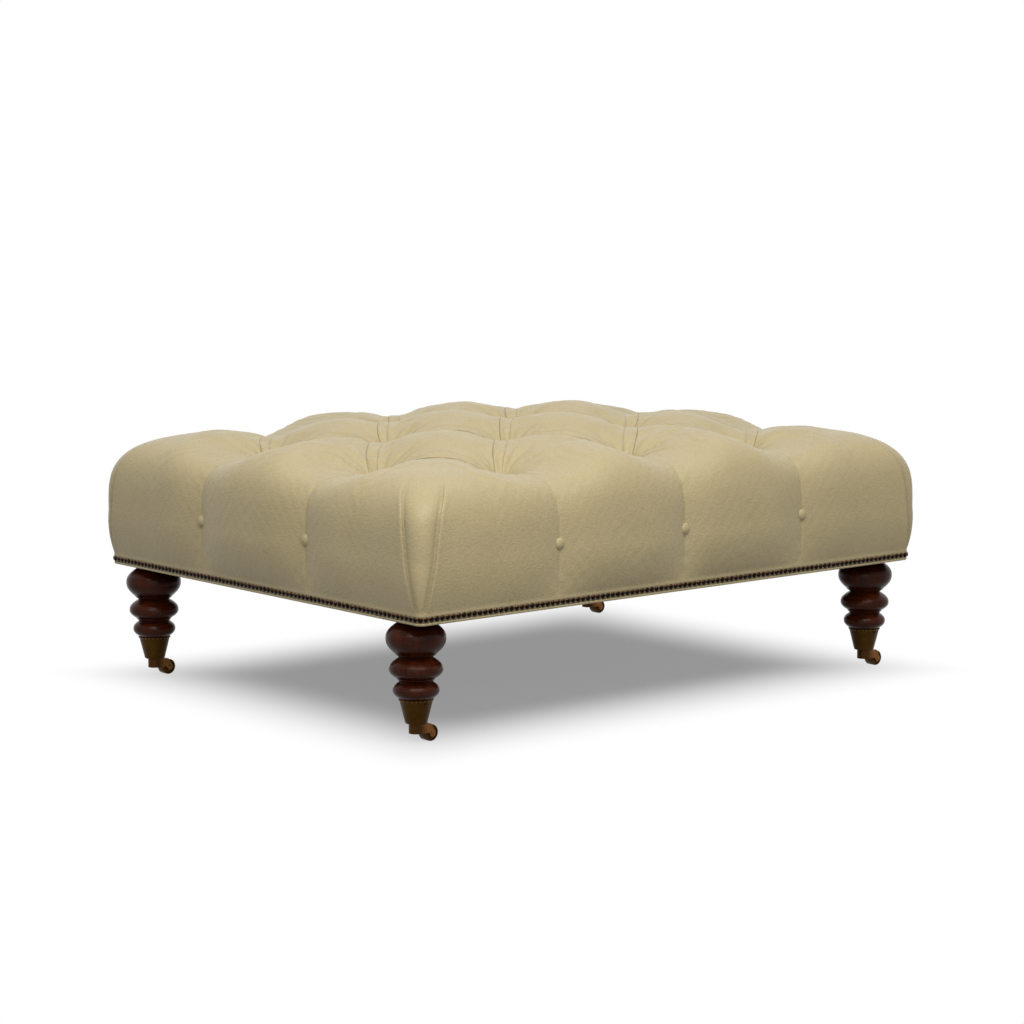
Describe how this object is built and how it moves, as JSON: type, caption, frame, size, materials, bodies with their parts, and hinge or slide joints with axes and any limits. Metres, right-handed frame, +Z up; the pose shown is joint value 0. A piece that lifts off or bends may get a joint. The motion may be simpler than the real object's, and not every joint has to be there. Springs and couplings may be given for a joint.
{
  "type": "tufted ottoman coffee table",
  "caption": "Rectangular leather ottoman coffee table with a deep diamond-tufted top, nail-head trim and turned legs on brass cup casters.",
  "frame": {"origin": "on the floor under the middle of the table", "axes": "+X along the length, the front long side faces -Y, +Z up; the casters trail towards +X at rest"},
  "size_m": [1.204, 0.9606, 0.4905],
  "materials": {
    "leather": "pale khaki pigmented cowhide, fine pebble grain, soft sheen",
    "foam": "cut polyurethane foam",
    "plywood": "sanded birch plywood",
    "frame_wood": "planed beech",
    "mahogany": "dark red-brown stained mahogany, gloss lacquer",
    "nail_brass": "antiqued dark bronze, satin domes",
    "dark_brass": "dark antiqued brass, satin",
    "horn_brass": "antiqued cast brass, satin",
    "wheel_brass": "dark turned brass",
    "twine": "waxed linen button twine",
    "washer_plastic": "black moulded plastic",
    "cambric": "black non-woven dust cover",
    "zinc_steel": "zinc-plated steel"
  },
  "bodies": {
    "root": {"leather_cover": "leather", "foam_core": "foam", "seat_deck": "plywood", "front_rail": "frame_wood", "back_rail": "frame_wood", "left_rail": "frame_wood", "right_rail": "frame_wood", "cross_rail_left": "frame_wood", "cross_rail_right": "frame_wood", "welt": "leather", "nails_front": "nail_brass", "nails_back": "nail_brass", "nails_left": "nail_brass", "nails_right": "nail_brass", "top_buttons": "leather", "side_buttons": "leather", "button_twine": "twine", "tufting_washers": "washer_plastic", "dust_cover": "cambric", "dust_staples": "zinc_steel", "deck_screws": "zinc_steel", "frame_screws": "zinc_steel", "block_screws": "zinc_steel", "tee_nuts": "zinc_steel", "hanger_bolts": "zinc_steel", "cup_screws": "dark_brass", "corner_block_front_left": "frame_wood", "corner_block_front_right": "frame_wood", "corner_block_back_left": "frame_wood", "corner_block_back_right": "frame_wood", "leg_front_left": "mahogany", "leg_front_right": "mahogany", "leg_back_left": "mahogany", "leg_back_right": "mahogany", "caster_cup_front_left": "dark_brass", "caster_cup_front_right": "dark_brass", "caster_cup_back_left": "dark_brass", "caster_cup_back_right": "dark_brass"},
    "swivel_front_left": {"pintle_front_left": "horn_brass", "horn_front_left": "horn_brass", "axle_front_left": "horn_brass"},
    "roller_front_left": {"wheel_front_left": "wheel_brass"},
    "swivel_front_right": {"pintle_front_right": "horn_brass", "horn_front_right": "horn_brass", "axle_front_right": "horn_brass"},
    "roller_front_right": {"wheel_front_right": "wheel_brass"},
    "swivel_back_left": {"pintle_back_left": "horn_brass", "horn_back_left": "horn_brass", "axle_back_left": "horn_brass"},
    "roller_back_left": {"wheel_back_left": "wheel_brass"},
    "swivel_back_right": {"pintle_back_right": "horn_brass", "horn_back_right": "horn_brass", "axle_back_right": "horn_brass"},
    "roller_back_right": {"wheel_back_right": "wheel_brass"}
  },
  "joints": [
    {"name": "swivel_joint_front_left", "type": "hinge", "parent": "root", "child": "swivel_front_left", "pos_m": [-0.534, -0.39, 0.03], "axis": [0, 0, 1], "continuous": true},
    {"name": "roll_joint_front_left", "type": "hinge", "parent": "swivel_front_left", "child": "roller_front_left", "pos_m": [-0.509, -0.39, 0.014], "axis": [0, 1, 0], "continuous": true},
    {"name": "swivel_joint_front_right", "type": "hinge", "parent": "root", "child": "swivel_front_right", "pos_m": [0.534, -0.39, 0.03], "axis": [0, 0, 1], "continuous": true},
    {"name": "roll_joint_front_right", "type": "hinge", "parent": "swivel_front_right", "child": "roller_front_right", "pos_m": [0.559, -0.39, 0.014], "axis": [0, 1, 0], "continuous": true},
    {"name": "swivel_joint_back_left", "type": "hinge", "parent": "root", "child": "swivel_back_left", "pos_m": [-0.534, 0.39, 0.03], "axis": [0, 0, 1], "continuous": true},
    {"name": "roll_joint_back_left", "type": "hinge", "parent": "swivel_back_left", "child": "roller_back_left", "pos_m": [-0.509, 0.39, 0.014], "axis": [0, 1, 0], "continuous": true},
    {"name": "swivel_joint_back_right", "type": "hinge", "parent": "root", "child": "swivel_back_right", "pos_m": [0.534, 0.39, 0.03], "axis": [0, 0, 1], "continuous": true},
    {"name": "roll_joint_back_right", "type": "hinge", "parent": "swivel_back_right", "child": "roller_back_right", "pos_m": [0.559, 0.39, 0.014], "axis": [0, 1, 0], "continuous": true}
  ]
}
